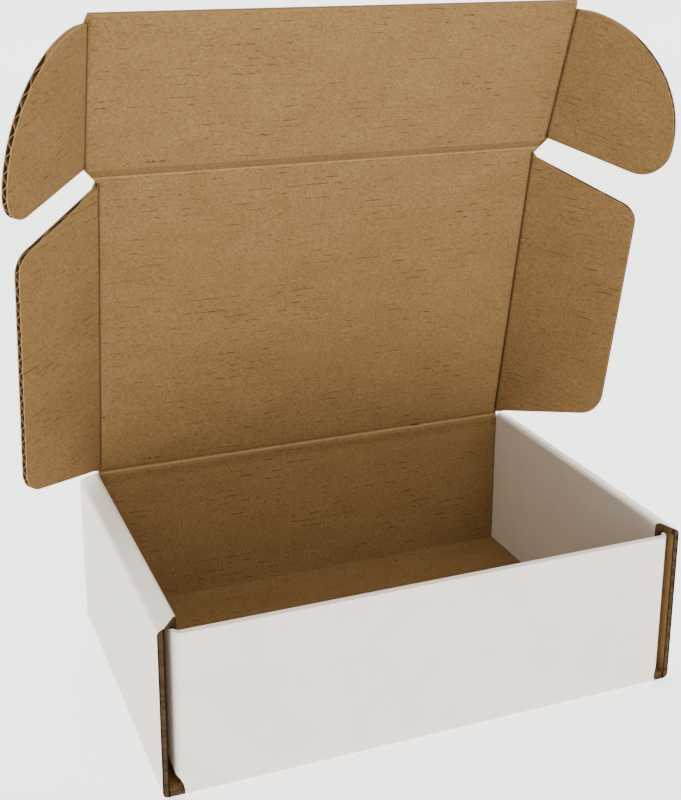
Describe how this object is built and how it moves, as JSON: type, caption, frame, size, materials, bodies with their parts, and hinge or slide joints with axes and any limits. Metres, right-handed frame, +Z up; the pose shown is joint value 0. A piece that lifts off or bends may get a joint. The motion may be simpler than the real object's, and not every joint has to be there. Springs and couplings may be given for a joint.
{
  "type": "corrugated mailer box",
  "caption": "Roll-end mailer box folded from one sheet of white-faced corrugated board, standing open with its hinged lid, tuck flap, ears and wings.",
  "frame": {"origin": "middle of the underside of the tray's base, on the surface that the box stands on", "axes": "+Z up, +X to the right along the box's length for someone who looks at its front, +Y from the front wall to the back wall that carries the lid"},
  "size_m": [0.295, 0.147, 0.2884],
  "materials": {
    "board": "matte"
  },
  "bodies": {
    "tray": {"tray": "board"},
    "lid_panel": {"lid_panel": "board"},
    "tuck_flap": {"tuck_flap": "board"},
    "left_ear": {"left_ear": "board"},
    "right_ear": {"right_ear": "board"},
    "left_wing": {"left_wing": "board"},
    "right_wing": {"right_wing": "board"}
  },
  "joints": [
    {"name": "lid_crease", "type": "hinge", "parent": "tray", "child": "lid_panel", "pos_m": [0, 0.0735, 0.0729], "axis": [-1, 0, 0], "range_deg": [-79.4, 119], "deforming": ["left_wing", "right_wing"]},
    {"name": "tuck_crease", "type": "hinge", "parent": "lid_panel", "child": "tuck_flap", "pos_m": [0, 0.04591, 0.22034], "axis": [-1, 0, 0], "range_deg": [-81.5, 8.5]},
    {"name": "left_ear_crease", "type": "hinge", "parent": "tuck_flap", "child": "left_ear", "pos_m": [-0.1117, 0.04591, 0.22034], "axis": [0, 0.3272, -0.9449], "range_deg": [-40.5, 49.5]},
    {"name": "right_ear_crease", "type": "hinge", "parent": "tuck_flap", "child": "right_ear", "pos_m": [0.1117, 0.04591, 0.22034], "axis": [0, -0.3272, 0.9449], "range_deg": [-32, 58]},
    {"name": "left_wing_crease", "type": "hinge", "parent": "lid_panel", "child": "left_wing", "pos_m": [-0.1056, 0.0735, 0.0729], "axis": [0, 0.184, -0.9829], "range_deg": [-47, 70.5]},
    {"name": "right_wing_crease", "type": "hinge", "parent": "lid_panel", "child": "right_wing", "pos_m": [0.1056, 0.0735, 0.0729], "axis": [0, -0.184, 0.9829], "range_deg": [-36.5, 54.8]}
  ],
  "couplings": [
    {"joint": "left_wing_crease", "follows": "lid_crease", "ratio": 0.5919},
    {"joint": "right_wing_crease", "follows": "lid_crease", "ratio": 0.4596}
  ]
}
